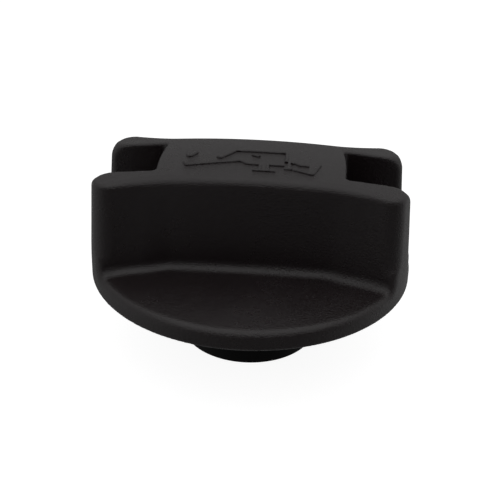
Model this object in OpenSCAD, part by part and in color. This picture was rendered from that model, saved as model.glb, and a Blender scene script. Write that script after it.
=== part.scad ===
// Oil filler cap: a moulded head with a twin-walled grip, a bayonet plug and a seal ring.
// Millimetres, +Z up. The origin is on the cap's axis, in the plane of the seal's lower face.
// The grip runs along X.

/* [Head] */
// Diameter of the head at the lower edge of its skirt
head_d = 70; // [66:1:80]
// Height of the disc's centre above the skirt's lower edge
disc_h = 4.9; // [4.6:0.1:7]
// Radius of the disc's shallow dome
dome_r = 560; // [450:10:900]
// Draft of the round side, in degrees
side_draft = 2.8; // [1:0.1:3.5]
// Rounding of the disc's outer edge
rim_r = 1.8; // [1:0.1:2]
// Thickness of the skirt's wall
skirt_t = 2.6; // [2:0.1:4]
// Depth of the recess inside the skirt
recess_h = 1.9; // [1:0.1:2.2]

/* [Grip] */
// Height of the grip's top above the disc's centre
grip_h = 20.3; // [16:0.1:26]
// Radius of the long crown on the grip's top
crown_r = 245; // [180:5:400]
// Width of the grip over its flat sides, at the top
grip_w = 23.6; // [21.6:0.2:27]
// Length of the grip's flat sides
flat_l = 34; // [28:1:38]
// Radius of the hollow flare towards each end of the grip
flare_r = 26; // [22:1:32]
// Rounding of the top at the grip's ends
end_r = 3.5; // [2:0.1:4.5]
// Rounding of the grip's four outer upright corners
corner_r = 3.2; // [2:0.1:4]
// Draft of the grip's long sides, in degrees
grip_draft = 2; // [0.5:0.5:3]

/* [Pockets] */
// Width of the pocket between the two walls of the grip
pocket_w = 15.6; // [13:0.1:17]
// Length of the solid web between the two pockets, on the axis of the grip
web_l = 39.6; // [34:0.2:44]
// Radius of the web's bulging ends
web_end_r = 80; // [60:5:120]
// Rounding of the pocket's inner upright corners
pocket_r = 1.2; // [0.8:0.1:2]
// Rounding of the inner upright corner of each wall's tip
tip_r = 1.5; // [0.8:0.1:2]

/* [Plug] */
// Diameter of the plug's drum
plug_d = 30.8; // [28:0.1:34]
// Diameter of the plug below its lugs
pilot_d = 30.4; // [27.6:0.1:33.6]
// Depth of the plug below the seal's lower face
plug_h = 16.1; // [14:0.1:20]
// Thickness of the plug's wall
plug_t = 2.8; // [2.4:0.1:3.5]
// Thickness of the plug's closed end
plug_end_t = 3; // [2.5:0.1:4]
// Rounding of the plug's lower edge
plug_edge_r = 0.8; // [0.4:0.1:1.2]
// Diameter of the spigot that holds the plug in the head
spigot_d = 17; // [14:0.5:18]
// Height of the spigot above the plug's shoulder
spigot_h = 9; // [6:0.5:11]
// Reach of each bayonet lug beyond the drum
lug_reach = 3.4; // [2.5:0.1:4]
// Height of each bayonet lug
lug_h = 3.6; // [3:0.1:4.5]
// Width of each bayonet lug
lug_w = 11; // [8:0.5:14]
// Distance from the seal's lower face down to the lugs' locking faces
lug_drop = 7.2; // [6:0.1:8]

/* [Seal] */
// Width of the seal ring's section
seal_w = 4; // [3:0.1:5]
// How far the seal stands below the skirt's lower edge
seal_proud = 0.8; // [0.4:0.1:1.2]
// Rounding of the seal's edges
seal_r = 0.7; // [0.4:0.1:1]
// Size of the bead on the plug that keeps the seal in place
bead_r = 0.6; // [0.4:0.1:0.8]

/* [Symbol] */
// Width of the lines of the oil can symbol
line_w = 0.7; // [0.5:0.05:1]
// Height of the symbol's lines above the grip
line_h = 0.35; // [0.2:0.05:0.5]

/* [Hidden] */
$fn = 96;
trim = 0.03;                                    // a rounding stands this far outside the faces it joins
inset = 0.05;                                   // the grip's ends stand this far inside the disc's side
fit_gap = 0.05;                                 // radial clearance of the spigot in its socket
seal_gap = 0.1;                                 // clearance of the seal on the drum and above the bead
over = 1;                                       // how far a cutter runs past what it cuts
head_r = head_d / 2;
plug_r = plug_d / 2;
plug_in = plug_r - plug_t;                      // inner radius of the plug
lug_low = lug_drop + lug_h;                     // depth of the lugs' lower faces
foot_z = seal_proud;                            // lower edge of the skirt
ceiling_z = foot_z + recess_h;                  // underside of the disc
disc_z = foot_z + disc_h;                       // top of the disc on the axis
top_z = disc_z + grip_h;                        // top of the grip on the axis
socket_h = spigot_h + 0.5;                      // the spigot stops short of the socket's end
side_y = grip_w / 2 + grip_h * tan(grip_draft); // half width of the grip at the disc
end_x = head_r - disc_h * tan(side_draft);      // radius of the grip's ends at the disc

// Centres of the arcs in the grip's plan at the height of the disc, in its first quarter
flare_c = [flat_l / 2, side_y + flare_r - trim];
corner_c = circles_meet([0, 0], end_x + trim - corner_r, flare_c, flare_r + corner_r - trim);
tip_y = pocket_w / 2 + tip_r - trim;
tip_c = [sqrt(pow(end_x + trim - tip_r, 2) - tip_y * tip_y), tip_y];
web_c = [web_l / 2 - web_end_r, 0];
nook_y = pocket_w / 2 - pocket_r;
nook_c = [web_c.x + sqrt(pow(web_end_r + pocket_r, 2) - nook_y * nook_y), nook_y];

function angle_of(v) = atan2(v.y, v.x);
function unit(v) = v / norm(v);

// Where the circle of radius ra about a meets the circle of radius rb about b, to the right of a to b
function circles_meet(a, ra, b, rb) =
    let (d = norm(b - a), u = (b - a) / d, m = (ra * ra - rb * rb + d * d) / (2 * d))
    a + u * m + [u.y, -u.x] * sqrt(ra * ra - m * m);

// Centre of the rounding between the drafted side and a top arc of radius arc_r that peaks at top
function edge_centre(top, arc_r, edge_r) =
    let (
        u = [-sin(side_draft), cos(side_draft)],
        p = [head_r - edge_r * cos(side_draft), foot_z - edge_r * sin(side_draft) - top + arc_r],
        k = arc_r - edge_r,
        t = -(p * u) + sqrt((p * u) * (p * u) - p * p + k * k)
    )
    p + t * u + [0, top - arc_r];

// What a rounding of radius r about c takes off a corner that lies between the directions u and v
module corner_waste(c, r, u, v) {
    difference() {
        polygon([c, c + 2 * r * unit(u), c + 2 * r * (unit(u) + unit(v)), c + 2 * r * unit(v)]);
        translate(c) circle(r = r);
    }
}

module edge_waste(top, arc_r, edge_r) {
    c = edge_centre(top, arc_r, edge_r);
    corner_waste(c, edge_r + trim, [cos(side_draft), sin(side_draft)], c - [0, top - arc_r]);
}

// Everything under a dome of radius r that peaks at top, as far out as a wide round side
module under_dome(top, r) {
    translate([0, 0, top - r]) rotate_extrude() intersection() {
        circle(r = r, $fn = 720);
        translate([0, r - head_d]) square([head_d, head_d + over]);
    }
}

// A round side that leans inwards on its way up, r in radius at the skirt's lower edge
module drafted(r) {
    translate([0, 0, foot_z]) cylinder(h = 2 * top_z, r1 = r, r2 = r - 2 * top_z * tan(side_draft));
}

module disc() {
    difference() {
        intersection() {
            drafted(head_r);
            under_dome(disc_z, dome_r);
        }
        rotate_extrude() edge_waste(disc_z, dome_r, rim_r);
    }
}

// A plan shape as a prism that leans towards the axis on its way up; azimuth is the side it stands on
// and reach its distance there from the axis, at the height of the disc
module leaning(azimuth, angle, reach) {
    rotate([0, 0, azimuth]) translate([reach, 0, disc_z]) rotate([0, -angle, 0])
        translate([-reach, 0, -3 * over]) rotate([0, 0, -azimuth]) linear_extrude(top_z) children();
}

// Space beside the grip: along its flat side and in the hollow flares towards its ends
module side_plan() {
    translate([-flat_l / 2, side_y]) square([flat_l, head_r]);
    for (sx = [-1, 1]) translate([sx * flare_c.x, flare_c.y]) circle(r = flare_r, $fn = 192);
}

// Space between the two walls of the grip, from the web's bulging end to past the grip's end
module pocket_plan() {
    difference() {
        translate([web_c.x, -pocket_w / 2]) square([web_end_r + head_r, pocket_w]);
        translate(web_c) circle(r = web_end_r, $fn = 720);
        for (sy = [0, 1]) mirror([0, sy, 0]) corner_waste(nook_c, pocket_r, [0, 1], web_c - nook_c);
    }
}

// The grip without the disc: ends that follow the disc's side, a crown, two walls and a web
module grip() {
    difference() {
        intersection() {
            drafted(head_r - inset);
            under_dome(top_z, crown_r);
        }
        for (side = [0, 180]) rotate([0, 0, side]) leaning(90, grip_draft, side_y) side_plan();
        for (end = [0, 180])
            rotate([0, 0, end]) translate([0, 0, ceiling_z]) linear_extrude(top_z) pocket_plan();
        for (sx = [0, 1], sy = [0, 1]) mirror([sx, 0, 0]) mirror([0, sy, 0]) {
            leaning(angle_of(corner_c), side_draft, end_x)
                corner_waste(corner_c, corner_r, corner_c, flare_c - corner_c);
            leaning(angle_of(tip_c), side_draft, end_x) corner_waste(tip_c, tip_r, tip_c, [0, -1]);
        }
        rotate_extrude() edge_waste(top_z, crown_r, end_r);
    }
}

// Half of a line's width, set square to the bend at b on a path from a over b to c
function bend(a, b, c) =
    let (u = unit(b - a), v = unit(c - b), n = unit([-u.y - v.y, u.x + v.x]))
    line_w / 2 * n / (n * [-u.y, u.x]);
function at(path, i) = path[(i + len(path)) % len(path)];

// Closed line of even width through the points of a path
module loop(path) {
    n = [for (i = [0:len(path) - 1]) bend(at(path, i - 1), path[i], at(path, i + 1))];
    difference() {
        polygon(path - n);
        polygon(path + n);
    }
}

module bar(a, b) {
    n = bend(a, b, 2 * b - a);
    polygon([a - n, b - n, b + n, a + n]);
}

// An oil can with a long spout and a drop, as raised lines; it reads from the far side of the grip
module symbol_plan() {
    loop([[-13, -5.9], [-2.9, -3.4], [-0.7, -4.4], [6.9, -4], [7.3, 2.6], [-3.6, 2.4], [-13.9, -3.9]]);
    loop([[-13.1, -1.2], [-11.9, 1.3], [-13, 2.4], [-14.1, 1.3]]);
    bar([2.6, -4.2], [2.6, -7.1]);
    bar([0.4, -7.3], [5.1, -7.3]);
    bar([7, -2.6], [12.2, -3.6]);
    bar([12, -3.3], [12.7, -7.3]);
    bar([12.9, -7], [8.4, -6.3]);
    bar([8.7, -6.5], [6.7, -4]);
}

module cap_head() {
    color([0.09, 0.09, 0.09])
    difference() {
        union() {
            disc();
            grip();
            intersection() {
                translate([0, 0, disc_z + socket_h]) linear_extrude(top_z) symbol_plan();
                under_dome(top_z + line_h, crown_r);
            }
        }
        translate([0, 0, foot_z - over]) cylinder(h = recess_h + over, r = head_r - skirt_t);
        translate([0, 0, ceiling_z - over]) cylinder(h = socket_h + over, r = spigot_d / 2 + fit_gap);
    }
}

module plug_section() {
    translate([plug_in, -lug_low]) square([plug_t, lug_low + ceiling_z]);
    difference() {
        translate([plug_in, -plug_h]) square([pilot_d / 2 - plug_in, plug_h - lug_low + over]);
        corner_waste([pilot_d / 2 - plug_edge_r, plug_edge_r - plug_h], plug_edge_r, [1, 0], [0, -1]);
    }
    translate([0, ceiling_z - plug_end_t]) square([plug_in + over, plug_end_t]);
    translate([0, ceiling_z - over]) square([spigot_d / 2, spigot_h + over]);
    translate([plug_r, -seal_gap - bead_r]) circle(r = bead_r);
}

module locking_plug() {
    color([0.05, 0.05, 0.05])
    union() {
        rotate_extrude() plug_section();
        intersection() {
            translate([-head_r, -lug_w / 2, -lug_low]) cube([head_d, lug_w, lug_h]);
            translate([0, 0, -plug_h]) rotate_extrude()
                translate([plug_r - plug_t / 2, 0]) square([plug_t / 2 + lug_reach, plug_h]);
        }
    }
}

module seal_ring() {
    color([0.03, 0.03, 0.03])
    rotate_extrude() translate([plug_r + seal_gap, 0]) difference() {
        square([seal_w, ceiling_z]);
        corner_waste([seal_r, seal_r], seal_r, [-1, 0], [0, -1]);
        corner_waste([seal_w - seal_r, seal_r], seal_r, [0, -1], [1, 0]);
    }
}

cap_head();
locking_plug();
seal_ring();
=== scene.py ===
# %% [markdown]
# # An oil filler cap
#
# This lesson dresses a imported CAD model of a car's oil filler cap. The CAD model is a fixed frame:
# it says where everything is and how large. Blender adds what a photograph shows and a plain solid
# doesn't: soft edges, fillets, the moulded grain of the plastic, and light.

# %% Load the frame
import math

import bmesh
import bpy
import numpy as np
from mathutils import Matrix, Vector


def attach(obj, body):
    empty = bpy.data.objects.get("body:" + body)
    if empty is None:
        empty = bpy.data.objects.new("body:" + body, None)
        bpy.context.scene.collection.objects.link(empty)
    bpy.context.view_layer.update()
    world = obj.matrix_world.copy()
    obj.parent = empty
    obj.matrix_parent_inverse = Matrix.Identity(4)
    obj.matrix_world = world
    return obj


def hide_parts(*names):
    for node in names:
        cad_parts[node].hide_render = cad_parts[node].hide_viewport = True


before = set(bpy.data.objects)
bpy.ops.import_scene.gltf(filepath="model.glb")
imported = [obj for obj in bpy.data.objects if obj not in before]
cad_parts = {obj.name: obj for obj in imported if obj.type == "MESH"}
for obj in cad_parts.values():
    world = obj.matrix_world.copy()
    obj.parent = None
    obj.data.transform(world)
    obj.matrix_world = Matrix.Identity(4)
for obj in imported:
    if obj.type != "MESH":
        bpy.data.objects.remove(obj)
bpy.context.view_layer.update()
MM = 0.001

# %% [markdown]
# ## The camera
#
# The photograph looks down on the cap from the front, at about 28 degrees. A camera could be placed
# by eye, but a fit to the cap's own edges gave its angle, distance and lens, and these few
# numbers are the result. The cap can't be turned, so the camera walks round it instead.

# %% Place the camera
LOOK_DOWN = math.radians(28.1)
AROUND = math.radians(3.8)
ROLL = math.radians(1.4)
aim = Vector((-0.16, 0, 3.65)) * MM
distance = 180 * MM

turn = Matrix.Rotation(AROUND, 3, "Z")
back = turn @ Vector((0, -math.cos(LOOK_DOWN), math.sin(LOOK_DOWN)))
right = turn @ Vector((1, 0, 0))
up = back.cross(right)
tilted_right = right * math.cos(ROLL) + up * math.sin(ROLL)
tilted_up = up * math.cos(ROLL) - right * math.sin(ROLL)

camera = bpy.data.objects.new("camera", bpy.data.cameras.new("camera"))
bpy.context.collection.objects.link(camera)
camera.matrix_world = Matrix.Translation(turn @ aim + back * distance) @ Matrix((
    (tilted_right.x, tilted_up.x, back.x, 0),
    (tilted_right.y, tilted_up.y, back.y, 0),
    (tilted_right.z, tilted_up.z, back.z, 0),
    (0, 0, 0, 1),
))
camera.data.lens = 58.0
camera.data.clip_start = 0.005
bpy.context.scene.camera = camera
print("camera at mm:", [round(v / MM, 1) for v in camera.location])

# %% [markdown]
# ## Materials in Python
#
# A material is a graph of nodes, and a graph is tedious to read as code. Here a small class wraps a
# socket, so that sums and products of values are written as sums and products. Every other node
# comes from one method, which takes the node's type, its settings and its inputs.

# %% A socket that can be added and multiplied
class Value:
    def __init__(self, material, socket):
        self.material, self.socket = material, socket

    def math(self, operation, a, b):
        return self.material.node("ShaderNodeMath", {"operation": operation}, {0: a, 1: b})

    def __add__(self, other):
        return self.math("ADD", self, other)

    def __sub__(self, other):
        return self.math("SUBTRACT", self, other)

    def __mul__(self, other):
        return self.math("MULTIPLY", self, other)

    __radd__, __rmul__ = __add__, __mul__


# %% A finish: one material and its nodes
class Finish:
    def __init__(self, name, constants):
        self.material = bpy.data.materials.new(name)
        self.material.use_nodes = True
        self.tree = self.material.node_tree
        self.shader = self.tree.nodes["Principled BSDF"]
        for socket, value in constants.items():
            self.shader.inputs[socket].default_value = value
        self.place = self.node("ShaderNodeTexCoord", {}, {}, "Object")

    def feed(self, socket, value):
        if isinstance(value, Value):
            self.tree.links.new(value.socket, socket)
        else:
            socket.default_value = value

    def node(self, kind, settings, inputs, output=0):
        node = self.tree.nodes.new(kind)
        for name, value in settings.items():
            setattr(node, name, value)
        for name, value in inputs.items():
            self.feed(node.inputs[name], value)
        return Value(self, node.outputs[output])

    def surface(self, **values):
        for name, value in values.items():
            self.feed(self.shader.inputs[name.replace("_", " ")], value)
        return self.material

    def noise(self, scale, detail, roughness=0.5):
        return self.node("ShaderNodeTexNoise", {}, {
            "Vector": self.place, "Scale": scale, "Detail": detail, "Roughness": roughness,
        })

    def blend(self, factor, one, other):
        return self.node(
            "ShaderNodeMix", {"data_type": "RGBA"}, {"Factor": factor, 6: one, 7: other}, 2
        )

    def bump(self, height, distance):
        return self.node("ShaderNodeBump", {}, {"Height": height, "Distance": distance})


# %% [markdown]
# ## The black plastic of the head
#
# The head is moulded in black plastic. The tool that made it was spark-eroded, so the surface has a
# very fine grain, stronger in some patches and worn smoother in others. A black object shows hardly
# any colour of its own: what the eye reads is how sharp its reflections are. A picture of the grain
# could be wrapped round it, but noise that is computed in space has no seams, so the grain is a
# bump made of noise and small cells, and a slow cloud of noise turns it up and down. The scale of a
# noise is the number of its lumps in one metre.

# %% Moulded black plastic
CLOUD_SCALE, WEAR_SCALE, WRINKLE_SCALE, CELL_SCALE = 60, 420, 3000, 3400


def moulded_plastic(name, shade, tint, roughness, grain, level):
    """Black plastic: how light it is, its tint, its roughness, its grain in metres and its shine."""
    finish = Finish(name, {"Specular IOR Level": level})
    cloud = finish.noise(CLOUD_SCALE, 3)
    wear = finish.noise(WEAR_SCALE, 4, 0.6)
    wrinkle = finish.noise(WRINKLE_SCALE, 2, 0.6)
    cells = finish.node(
        "ShaderNodeTexVoronoi", {}, {"Vector": finish.place, "Scale": CELL_SCALE}
    )
    dark = (*(shade * 0.85 * part for part in tint), 1)
    light = (*(shade * 1.25 * part for part in tint), 1)
    relief = (wrinkle + cells * 0.4) * (0.3 + cloud)
    return finish.surface(
        Base_Color=finish.blend(cloud * 0.6 + wrinkle * 0.4, dark, light),
        Roughness=roughness + 0.08 * (cloud - 0.5) + 0.1 * (wear - 0.5),
        Normal=finish.bump(relief, grain),
    )


head_plastic = moulded_plastic(
    "head_plastic", shade=0.0084, tint=(1.38, 0.90, 0.98), roughness=0.26, grain=0.145 * MM, level=0.5
)
plug_plastic = moulded_plastic(
    "plug_plastic", shade=0.0075, tint=(1.0, 1.0, 1.02), roughness=0.45, grain=0.03 * MM, level=0.07
)
print("plastics:", head_plastic.name, plug_plastic.name)

# %% [markdown]
# ## Forms as distances
#
# The head is one moulding whose forms run into each other with soft edges and fillets. It could be
# cut from solids and bevelled, but a bevel fails where three curved faces meet. Here each form is
# written as a distance instead: below zero inside it and above zero outside. Two distances then join
# or meet with an edge of any radius, and a mesh is drawn over the place where the result is zero.

# %% Joining distances with round edges
def meet(a, b, radius):
    """Both forms at once, with their common edge rounded."""
    outside = np.hypot(np.maximum(radius + a, 0), np.maximum(radius + b, 0))
    return np.minimum(-radius, np.maximum(a, b)) + outside


def join(a, b, radius):
    """Either form, with a fillet in the corner between them."""
    return -meet(-a, -b, radius)


def ease(value, low, high):
    share = np.clip((value - low) / (high - low), 0, 1)
    return share * share * (3 - 2 * share)


# %% [markdown]
# ## The head's own forms
#
# All sizes are in millimetres and follow the CAD model: a disc with a shallow dome, a round side, a
# grip whose two long sides flare towards the ends, a crown over the grip, and two pockets that leave
# a web between them. Three things go further than the plain solid. The round side stands nearly
# upright at the disc and leans in at the grip's ends. The long sides lean more where they flare. And
# the rounding of the grip's edges is not one radius: it changes along the edge, as on the real cap.

# %% Sizes of the head
HEAD_R, FOOT, CEILING, DISC, TOP = 35.0, 0.8, 2.7, 5.7, 26.0
DOME_R, CROWN_R, SKIRT_IN = 560.0, 245.0, 32.4
GRIP_HALF, FLAT, FLARE_R = 12.4, 17.0, 28.0
POCKET_HALF, WEB_END, WEB_BULGE = 7.8, 19.7, 80.0
SKIRT_SLOPE, END_SLOPE, FLAT_SLOPE, FLARE_SLOPE, POCKET_SLOPE = (
    math.tan(math.radians(angle)) for angle in (1.2, 4.0, 1.0, 4.6, 2.0)
)
LEAN_FROM, LEAN_TO = FLAT - 1.5, FLAT + 4.5
END_FROM = 6.2

# %% Radii of its edges
CORNER_R, RIM_R, FILLET_R, WEB_R, FOOT_R, RECESS_R = 3.3, 1.5, 2.0, 1.2, 0.4, 0.3
TOP_R_MIDDLE, TOP_R_FLARE, END_R_INNER, END_R_OUTER = 2.0, 1.0, 2.7, 0.9
SLOT_R_TOP, SLOT_R_END = 0.45, 2.1


def dome(across, z, top, radius):
    return np.hypot(across, z - top + radius) - radius


def grip_side(x, y, z):
    """Distance from the grip's long side: flat in the middle, and leaning more where it flares."""
    slope = FLAT_SLOPE + (FLARE_SLOPE - FLAT_SLOPE) * ease(np.abs(x), LEAN_FROM, LEAN_TO)
    half = GRIP_HALF + (TOP - z) * slope
    along = np.maximum(np.abs(x) - FLAT, 0)
    flare = FLARE_R - np.hypot(along, np.abs(y) - half - FLARE_R)
    return np.where(np.abs(y) > half + FLARE_R, FLARE_R - along, flare)


def pocket(x, y, z):
    """Distance from the slot between the two walls, which narrows on its way down."""
    web = WEB_BULGE - np.hypot(np.abs(x) - WEB_END + WEB_BULGE, y)
    return meet(np.abs(y) - POCKET_HALF + (TOP - z) * POCKET_SLOPE, web, WEB_R)


# %% The round side
def round_side(across, z):
    """Distance from the side: nearly upright on the disc, and leaning in at the grip's ends."""
    above = z - END_FROM
    bend = (above + np.sqrt(above * above + 4)) / 2
    return across - HEAD_R + (z - FOOT) * SKIRT_SLOPE + bend * (END_SLOPE - SKIRT_SLOPE)


# %% The head as one distance
def mix(one, other, share):
    return one + share * (other - one)


def head(x, y, z):
    across = np.hypot(x, y)
    side, slot, crown = round_side(across, z), pocket(x, y, z), dome(across, z, TOP, CROWN_R)
    low = 1 - ease(z, 6.5, 10)  # at the disc, below the grip's walls
    outer = ease(slot, 0.5, 3.5)  # away from the pocket, on the outer half of a wall
    near_end = ease(side, -4, -0.8)  # close to the round side
    outline = meet(grip_side(x, y, z), side - 2 * low, CORNER_R)
    long_edge = mix(TOP_R_MIDDLE, TOP_R_FLARE, ease(np.abs(x), 18, 30))
    end_edge = mix(END_R_INNER, END_R_OUTER, outer)
    grip = meet(outline, crown, mix(long_edge, end_edge, near_end))
    grip = meet(grip, -slot, mix(SLOT_R_TOP, SLOT_R_END, near_end))
    body = join(dome(across, z, DISC, DOME_R), grip, FILLET_R)
    body = meet(body, side, RIM_R * low)
    body = meet(body, -np.maximum(across - SKIRT_IN, z - CEILING), RECESS_R)
    return meet(body, FOOT - z, FOOT_R)


# %% [markdown]
# ## From a distance to a mesh
#
# The space is divided into small cells. Each cell that the surface passes through gets one point,
# and the points of neighbouring cells join into squares. Then the points take turns: they slide onto
# the exact surface, and they move a little towards the middle of their neighbours. This way of
# meshing is called surface nets, and it gives even squares everywhere.

# %% One point for each cell that the surface crosses
CORNERS = [(i, j, k) for i in (0, 1) for j in (0, 1) for k in (0, 1)]


def cell_points(values, low, step):
    inside = (values < 0).astype(np.int8)
    wide, deep, high = (size - 1 for size in inside.shape)
    count = sum(inside[i:wide + i, j:deep + j, k:high + k] for i, j, k in CORNERS)
    cells = np.argwhere((count > 0) & (count < 8))
    number = np.full(count.shape, -1)
    number[tuple(cells.T)] = np.arange(len(cells))
    return number, low + (cells + 0.5) * step


# %% Squares across every grid edge that changes sign
def squares(values, number):
    inside = values < 0
    faces = []
    for axis in range(3):
        one, two = (axis + 1) % 3, (axis + 2) % 3
        first = np.take(inside, range(inside.shape[axis] - 1), axis)
        second = np.take(inside, range(1, inside.shape[axis]), axis)
        edges = np.argwhere(first != second)
        outward = first[tuple(edges.T)]
        ring = []
        for a, b in ((-1, -1), (0, -1), (0, 0), (-1, 0)):
            cell = edges.copy()
            cell[:, one] += a
            cell[:, two] += b
            ring.append(number[tuple(cell.T)])
        ring = np.array(ring).T
        faces.append(np.where(outward[:, None], ring, ring[:, ::-1]))
    return np.vstack(faces)


# %% Sliding the points onto the surface
TINY, FLATTEST, FURTHEST = 0.02, 0.05, 0.4


def slide(points, form, times):
    for _ in range(times):
        x, y, z = points.T
        here = form(x, y, z)
        slope = np.stack([
            form(x + TINY, y, z) - form(x - TINY, y, z),
            form(x, y + TINY, z) - form(x, y - TINY, z),
            form(x, y, z + TINY) - form(x, y, z - TINY),
        ]) / (2 * TINY)
        size = np.maximum((slope ** 2).sum(0), FLATTEST)
        move = np.clip(here / size, -FURTHEST, FURTHEST) * slope
        points = points - move.T
    return points


def relax(points, faces):
    """Move each point half way to the middle of its neighbours."""
    total, count = np.zeros_like(points), np.zeros(len(points))
    for a, b in ((0, 1), (1, 2), (2, 3), (3, 0)):
        for one, two in ((a, b), (b, a)):
            np.add.at(total, faces[:, one], points[faces[:, two]])
            np.add.at(count, faces[:, one], 1)
    return points + 0.5 * (total / count[:, None] - points)


# %% A finished piece from points and faces
def piece(name, points, faces, material):
    mesh = bpy.data.meshes.new(name)
    mesh.from_pydata((np.asarray(points) * MM).tolist(), [], [list(map(int, f)) for f in faces])
    mesh.materials.append(material)
    mesh.polygons.foreach_set("use_smooth", [True] * len(mesh.polygons))
    mesh.update()
    made = bpy.data.objects.new(name, mesh)
    bpy.context.collection.objects.link(made)
    return made


def net(name, form, low, high, step, material):
    axes = [np.arange(a, b + step, step) for a, b in zip(low, high)]
    values = form(*np.meshgrid(*axes, indexing="ij"))
    number, points = cell_points(values, np.array(low), step)
    faces = squares(values, number)
    points = slide(points, form, 3)
    for _ in range(4):
        points = slide(relax(points, faces), form, 1)
    points = slide(points, form, 2)
    print(name, "has", len(points), "points and", len(faces), "squares")
    return piece(name, points, faces, material)


# %% Make the head
cell = 0.45
moulded_head = net("moulded_head", head, (-36, -36, 0), (36, 36, 27), cell, head_plastic)

# %% [markdown]
# ## The plug and the seal
#
# Both are round, so both are turned: a half section goes round the axis, as clay does on a wheel.
# The section's corners are cut back to short arcs first, since no moulded edge is sharp.

# %% Rounding the corners of a section
ARC_POINTS, ROUND_STEPS = 5, 160


def rounded(section):
    """Points of a closed section in which each corner (across, z, radius) becomes an arc."""
    points = []
    for i, (across, z, radius) in enumerate(section):
        here = np.array((across, z))
        before = np.array(section[i - 1][:2]) - here
        after = np.array(section[(i + 1) % len(section)][:2]) - here
        if radius == 0:
            points.append(here)
            continue
        before, after = before / np.linalg.norm(before), after / np.linalg.norm(after)
        for share in np.linspace(0, 1, ARC_POINTS):
            a, b = (1 - share) ** 2, share ** 2
            points.append(here + radius * (a * before + b * after))
    return points


def turned(name, section, material):
    """A closed section turned round the axis. A point on the axis itself becomes a single pole."""
    angles = np.arange(ROUND_STEPS) * 2 * math.pi / ROUND_STEPS
    points, rings, faces = [], [], []
    for across, z in section:
        steps = angles if across > 0 else angles[:1]
        first = len(points)
        rings.append([first + s % len(steps) for s in range(ROUND_STEPS + 1)])
        points += [(across * math.cos(t), across * math.sin(t), z) for t in steps]
    for one, other in zip(rings, rings[1:] + rings[:1]):
        for s in range(ROUND_STEPS):
            corners = list(dict.fromkeys((one[s], one[s + 1], other[s + 1], other[s])))
            if len(corners) > 2:
                faces.append(corners)
    return piece(name, points, faces, material)


# %% Turn the drum of the plug
PLUG_R, PILOT_R, PLUG_IN, PLUG_LOW, CLOSED = 15.4, 15.3, 12.6, -16.1, -0.3
LUG_LOW, LUG_HIGH, BEAD_R, UNDER_HEAD = -10.8, -7.2, 15.85, 2.69
drum_section = [
    (0, CLOSED, 0), (PLUG_IN, CLOSED, 1.0), (PLUG_IN, PLUG_LOW, 0.5), (PILOT_R, PLUG_LOW, 0.15),
    (PILOT_R, LUG_LOW, 0.1), (PLUG_R, LUG_LOW, 0.1),
    (PLUG_R, -1.3, 0.1), (BEAD_R, -1.0, 0.25), (BEAD_R, -0.4, 0.25), (PLUG_R, -0.1, 0.1),
    (PLUG_R, UNDER_HEAD, 0.2), (0, UNDER_HEAD, 0),
]
plug_drum = turned("plug_drum", rounded(drum_section), plug_plastic)
print("drum:", len(plug_drum.data.polygons), "faces")

# %% Rubber for the seal
def rubber(name):
    finish = Finish(name, {"Specular IOR Level": 0.35})
    bloom = finish.noise(180, 4, 0.6)
    grit = finish.noise(3000, 2)
    tone = finish.blend(bloom, (0.006, 0.006, 0.0065, 1), (0.014, 0.014, 0.015, 1))
    return finish.surface(
        Base_Color=tone, Roughness=0.55 + 0.2 * (bloom - 0.5), Normal=finish.bump(grit, 0.00002)
    )


seal_rubber = rubber("seal_rubber")
SEAL_IN, SEAL_OUT = 15.5, 19.5
seal_section = [
    (SEAL_IN, 0, 0.7), (SEAL_OUT, 0, 0.7), (SEAL_OUT, UNDER_HEAD, 0.2), (SEAL_IN, UNDER_HEAD, 0.2),
]
seal = turned("seal", rounded(seal_section), seal_rubber)
print("seal:", len(seal.data.polygons), "faces")

# %% [markdown]
# ## The bayonet lugs
#
# Two lugs stand out of the drum and lock behind slots in the filler neck. They are alike, so
# Geometry Nodes set one model lug twice, the second time turned by half a turn round the axis. The
# tree is built here, node by node, with its inputs named, and its result becomes a plain mesh.

# %% A small helper for Geometry Nodes trees
class Tree:
    def __init__(self, name, inputs):
        self.group = bpy.data.node_groups.new(name, "GeometryNodeTree")
        side = self.group.interface
        side.new_socket("Geometry", in_out="OUTPUT", socket_type="NodeSocketGeometry")
        side.new_socket("Geometry", in_out="INPUT", socket_type="NodeSocketGeometry")
        for label, kind in inputs.items():
            side.new_socket(label, in_out="INPUT", socket_type=kind)
        self.source = self.group.nodes.new("NodeGroupInput")
        self.result = self.group.nodes.new("NodeGroupOutput")

    def input(self, label):
        return self.source.outputs[label]

    def node(self, kind, settings=None, inputs=None, output=0):
        node = self.group.nodes.new(kind)
        for name, value in (settings or {}).items():
            setattr(node, name, value)
        for name, value in (inputs or {}).items():
            if isinstance(value, bpy.types.NodeSocket):
                self.group.links.new(value, node.inputs[name])
            else:
                node.inputs[name].default_value = value
        return node.outputs[output]

    def maths(self, operation, a, b=0.0):
        return self.node("ShaderNodeMath", {"operation": operation}, {0: a, 1: b})

    def finish(self, geometry, material):
        real = self.node("GeometryNodeRealizeInstances", {}, {"Geometry": geometry})
        painted = self.node("GeometryNodeSetMaterial", {}, {"Geometry": real, "Material": material})
        self.group.links.new(painted, self.result.inputs["Geometry"])

    def grow(self, carrier, values, name):
        """Run the tree on an object and return its result as a plain mesh object."""
        live = carrier.modifiers.new("grow", "NODES")
        live.node_group = self.group
        for item in self.group.interface.items_tree:
            if item.in_out == "INPUT" and item.name in values:
                live[item.identifier] = values[item.name]
        seen = bpy.context.evaluated_depsgraph_get()
        mesh = bpy.data.meshes.new_from_object(carrier.evaluated_get(seen))
        carrier.modifiers.remove(live)
        bpy.data.objects.remove(carrier)
        mesh.name = name
        made = bpy.data.objects.new(name, mesh)
        bpy.context.collection.objects.link(made)
        return made


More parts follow.
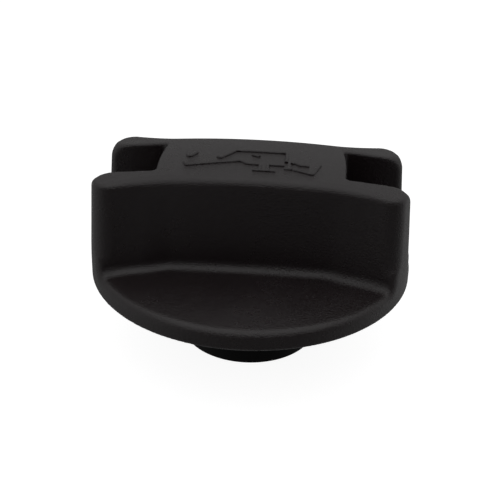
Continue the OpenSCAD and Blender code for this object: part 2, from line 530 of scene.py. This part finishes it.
# %% Model one lug and set it twice
LUG_ROOT, LUG_REACH, LUG_HALF, LUG_EDGE = 14.2, 18.8, 5.5, 0.5
LUG_STEPS = 8


def lug_block():
    """A lug as a slice of a ring, from inside the drum's wall out to its reach."""
    form = bmesh.new()
    rows = []
    for across in (LUG_ROOT, LUG_REACH):
        for z in (LUG_LOW, LUG_HIGH):
            widths = np.linspace(-LUG_HALF, LUG_HALF, LUG_STEPS + 1)
            edge = [(math.sqrt(across ** 2 - w * w), w, z) for w in widths]
            rows.append([form.verts.new(Vector(p) * MM) for p in edge])
    inner_low, inner_high, outer_low, outer_high = rows
    loops = [inner_low, outer_low, outer_high, inner_high]
    for a, b in zip(loops, loops[1:] + loops[:1]):
        for i in range(LUG_STEPS):
            form.faces.new((a[i], a[i + 1], b[i + 1], b[i]))
    form.faces.new([row[0] for row in loops])
    form.faces.new([row[-1] for row in loops])
    bmesh.ops.recalc_face_normals(form, faces=form.faces)
    sharp = [e for e in form.edges if e.calc_face_angle(0) > 0.8]
    bmesh.ops.bevel(
        form, geom=sharp, offset=LUG_EDGE * MM, segments=3, profile=0.5, affect="EDGES"
    )
    mesh = bpy.data.meshes.new("lug")
    form.to_mesh(mesh)
    form.free()
    mesh.polygons.foreach_set("use_smooth", [True] * len(mesh.polygons))
    carrier = bpy.data.objects.new("lug", mesh)
    bpy.context.collection.objects.link(carrier)
    return carrier


lugs_tree = Tree("lugs", {"Lugs": "NodeSocketInt", "Material": "NodeSocketMaterial"})
spots = lugs_tree.node("GeometryNodePoints", {}, {"Count": lugs_tree.input("Lugs")})
order = lugs_tree.node("GeometryNodeInputIndex")
share = lugs_tree.maths("DIVIDE", order, lugs_tree.input("Lugs"))
angle = lugs_tree.maths("MULTIPLY", share, 2 * math.pi)
turned_by = lugs_tree.node("ShaderNodeCombineXYZ", {}, {"Z": angle})
placed = lugs_tree.node(
    "GeometryNodeInstanceOnPoints", {},
    {"Points": spots, "Instance": lugs_tree.input("Geometry"), "Rotation": turned_by},
)
lugs_tree.finish(placed, lugs_tree.input("Material"))
lugs = lugs_tree.grow(lug_block(), {"Lugs": 2, "Material": plug_plastic}, "lugs")
print("lugs:", len(lugs.data.polygons), "faces")

# %% [markdown]
# ## The raised symbol
#
# The top of the grip carries a plain oil can in thin raised lines. The lines are drawn flat, as
# paths. Geometry Nodes round their bends, lift them onto the crown and sweep a small oval section
# along them. Half of the oval stands out of the plastic, so the lines follow the curved top.

# %% Draw the paths
oil_can = [
    [(-7.3, -1.0), (-6.7, -1.6), (-3.7, 2.75), (7.1, 2.75), (7.1, -2.5)],
    [(-13.9, -4.2), (-13.3, -5.6), (-2.4, -2.9), (-0.9, -4.2), (1.8, -4.4), (1.8, -7.2)],
    [(3.4, -7.2), (3.4, -4.3), (6.8, -4.2)],
    [(0.4, -7.3), (5.1, -7.3)],
    [(-14.0, 1.3), (-13.6, -1.1), (-12.8, -0.4), (-12.0, 1.3)],
    [(6.8, -5.8), (8.4, -5.8), (12.6, -7.5), (14.1, -2.2)],
    [(8.3, -3.0), (8.8, -2.4), (9.9, -3.4), (11.9, -3.5)],
    [(-0.1, 0.7), (1.4, -0.2)],
]


def path_object(paths):
    curve = bpy.data.curves.new("paths", "CURVE")
    curve.dimensions = "3D"
    for path in paths:
        spline = curve.splines.new("POLY")
        spline.points.add(len(path) - 1)
        for point, (x, y) in zip(spline.points, path):
            point.co = (x * MM, y * MM, 0, 1)
    made = bpy.data.objects.new("paths", curve)
    bpy.context.collection.objects.link(made)
    return made


# %% Sweep the lines over the crown
lines_tree = Tree("raised_lines", {
    "Width": "NodeSocketFloat", "Height": "NodeSocketFloat", "Crown Radius": "NodeSocketFloat",
    "Crown Top": "NodeSocketFloat", "Bend": "NodeSocketFloat", "Material": "NodeSocketMaterial",
})
bent = lines_tree.node(
    "GeometryNodeFilletCurve", {"mode": "POLY"},
    {"Curve": lines_tree.input("Geometry"), "Radius": lines_tree.input("Bend"), "Count": 4},
)
fine = lines_tree.node("GeometryNodeSubdivideCurve", {}, {"Curve": bent, "Cuts": 6})
where = lines_tree.node("GeometryNodeInputPosition")
out_squared = lines_tree.node(
    "ShaderNodeVectorMath", {"operation": "DOT_PRODUCT"}, {0: where, 1: where}, "Value"
)
crown = lines_tree.input("Crown Radius")
left = lines_tree.maths("SUBTRACT", lines_tree.maths("MULTIPLY", crown, crown), out_squared)
above = lines_tree.maths("SUBTRACT", lines_tree.maths("SQRT", left), crown)
lift = lines_tree.maths("ADD", above, lines_tree.input("Crown Top"))
raised = lines_tree.node(
    "GeometryNodeSetPosition", {},
    {"Geometry": fine, "Offset": lines_tree.node("ShaderNodeCombineXYZ", {}, {"Z": lift})},
)
upright = lines_tree.node("GeometryNodeSetCurveNormal", {"mode": "Z_UP"}, {"Curve": raised})
circle = lines_tree.node("GeometryNodeCurvePrimitiveCircle", {}, {"Resolution": 12, "Radius": 1.0})
half_width = lines_tree.maths("MULTIPLY", lines_tree.input("Width"), 0.5)
shape = lines_tree.node(
    "ShaderNodeCombineXYZ", {}, {"X": half_width, "Y": lines_tree.input("Height"), "Z": 1.0}
)
section = lines_tree.node("GeometryNodeTransform", {}, {"Geometry": circle, "Scale": shape})
swept = lines_tree.node(
    "GeometryNodeCurveToMesh", {}, {"Curve": upright, "Profile Curve": section, "Fill Caps": True}
)
lines_tree.finish(swept, lines_tree.input("Material"))
symbol = lines_tree.grow(path_object(oil_can), {
    "Width": 0.8 * MM, "Height": 0.36 * MM, "Crown Radius": CROWN_R * MM,
    "Crown Top": TOP * MM, "Bend": 0.35 * MM, "Material": head_plastic,
}, "symbol")
print("symbol:", len(symbol.data.polygons), "faces")

# %% [markdown]
# ## Pieces and bodies
#
# Nothing on the cap moves, so every piece rides on the one body. Each stands for a node of the CAD
# model, which stays behind for weight and contact.

# %% Ride and replace
for made, node, finish_slot in (
    (moulded_head, "cap_head", "head_plastic"),
    (symbol, "cap_head", "head_plastic"),
    (plug_drum, "locking_plug", "plug_plastic"),
    (lugs, "locking_plug", "plug_plastic"),
    (seal, "seal_ring", "seal_rubber"),
):
    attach(made, "root")
    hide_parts(node)

# %% [markdown]
# ## Floor and light
#
# The photograph is a studio picture on white. A pale floor fills the frame, lit by itself so that it
# stays white under a black object. Black plastic shows its surroundings more than its own colour, so
# what stands round the cap matters more than any lamp. A glowing floor would also light the walls
# from below, which the photograph doesn't show, so the cap neither mirrors it nor takes light from
# it. Cards and lamps could be set up one by one. Here the world is a tent instead: three ramps say
# how bright it is at each height, one in front, one at the sides and one behind. It is dim in front
# and bright above and behind, which gives the plastic its dark walls and its bright crown and rim.

# %% The floor
def pale_floor(height):
    form = bmesh.new()
    bmesh.ops.create_grid(form, x_segments=1, y_segments=1, size=3.0)
    mesh = bpy.data.meshes.new("floor")
    form.to_mesh(mesh)
    form.free()
    mesh.transform(Matrix.Translation((0, 0, height)))
    glow = {"Specular IOR Level": 0.0, "Emission Color": (1, 1, 1, 1), "Emission Strength": 0.92}
    finish = Finish("floor", glow)
    cloth = finish.noise(8, 2)
    mesh.materials.append(finish.surface(
        Base_Color=finish.blend(cloth, (0.3, 0.3, 0.3, 1), (0.32, 0.32, 0.32, 1)),
        Roughness=0.9 + 0.05 * cloth,
    ))
    made = bpy.data.objects.new("floor", mesh)
    bpy.context.collection.objects.link(made)
    return made


floor = pale_floor(PLUG_LOW * MM)
floor.visible_glossy = False
floor.visible_diffuse = False


# %% The lights
def soft_light(name, place, size, brightness):
    lamp = bpy.data.lights.new(name, "AREA")
    lamp.shape, lamp.size, lamp.size_y = "RECTANGLE", size[0], size[1]
    lamp.energy = brightness * math.pi * size[0] * size[1]
    made = bpy.data.objects.new(name, lamp)
    bpy.context.collection.objects.link(made)
    made.location = place
    made.rotation_mode = "QUATERNION"
    made.rotation_quaternion = Vector(place).to_track_quat("Z", "Y")
    return made


soft_light("overhead", (0, 0, 0.9), (0.8, 0.8), 0.2)


# %% Light that depends on a direction's height
def height_ramp(nodes, links, height, stops):
    """A ramp of grey levels over the height of a direction, from stops of (angle, level)."""
    ramp = nodes.new("ShaderNodeValToRGB")
    ramp.color_ramp.interpolation = "EASE"
    while len(ramp.color_ramp.elements) < len(stops):
        ramp.color_ramp.elements.new(1)
    for point, (angle, level) in zip(ramp.color_ramp.elements, stops):
        point.position = 0.5 + 0.5 * math.sin(math.radians(angle))
        point.color = (level, level, level, 1)
    links.new(height, ramp.inputs["Fac"])
    return ramp.outputs["Color"]


# %% The tent round the cap
TENT_TURN = math.radians(17)
FRONT_TO_SIDES, SIDES_TO_BACK = (-0.82, -0.15), (0.2, 0.88)


def tent(front, sides, back):
    """A world with one ramp for the front, one for the two sides and one for the back."""
    world = bpy.data.worlds.new("tent")
    world.use_nodes = True
    nodes, links = world.node_tree.nodes, world.node_tree.links
    direction = nodes.new("ShaderNodeTexCoord").outputs["Generated"]
    parts = nodes.new("ShaderNodeSeparateXYZ")
    links.new(direction, parts.inputs[0])
    height = nodes.new("ShaderNodeMapRange")
    height.inputs["From Min"].default_value = -1
    links.new(parts.outputs["Z"], height.inputs["Value"])
    depth = nodes.new("ShaderNodeVectorMath")
    depth.operation = "DOT_PRODUCT"
    links.new(direction, depth.inputs[0])
    depth.inputs[1].default_value = (-math.sin(TENT_TURN), math.cos(TENT_TURN), 0)
    colour = height_ramp(nodes, links, height.outputs["Result"], front)
    for stops, (start, end) in ((sides, FRONT_TO_SIDES), (back, SIDES_TO_BACK)):
        share = nodes.new("ShaderNodeMapRange")
        share.inputs["From Min"].default_value = start
        share.inputs["From Max"].default_value = end
        links.new(depth.outputs["Value"], share.inputs["Value"])
        mixed = nodes.new("ShaderNodeMix")
        mixed.data_type = "RGBA"
        links.new(share.outputs["Result"], mixed.inputs["Factor"])
        links.new(colour, mixed.inputs[6])
        links.new(height_ramp(nodes, links, height.outputs["Result"], stops), mixed.inputs[7])
        colour = mixed.outputs[2]
    links.new(colour, nodes["Background"].inputs["Color"])
    return world


bpy.context.scene.world = tent(
    front=((-38, 0.09), (-24, 0.13), (-16, 0.29), (0, 0.07), (24, 0.10), (44, 0.70), (70, 0.62)),
    sides=((-38, 0.22), (-12, 0.44), (28, 0.42), (48, 0.66), (70, 0.75)),
    back=((-30, 0.12), (0, 0.24), (28, 0.30), (48, 0.53), (70, 0.82)),
)
bpy.context.scene.view_settings.view_transform = "Standard"
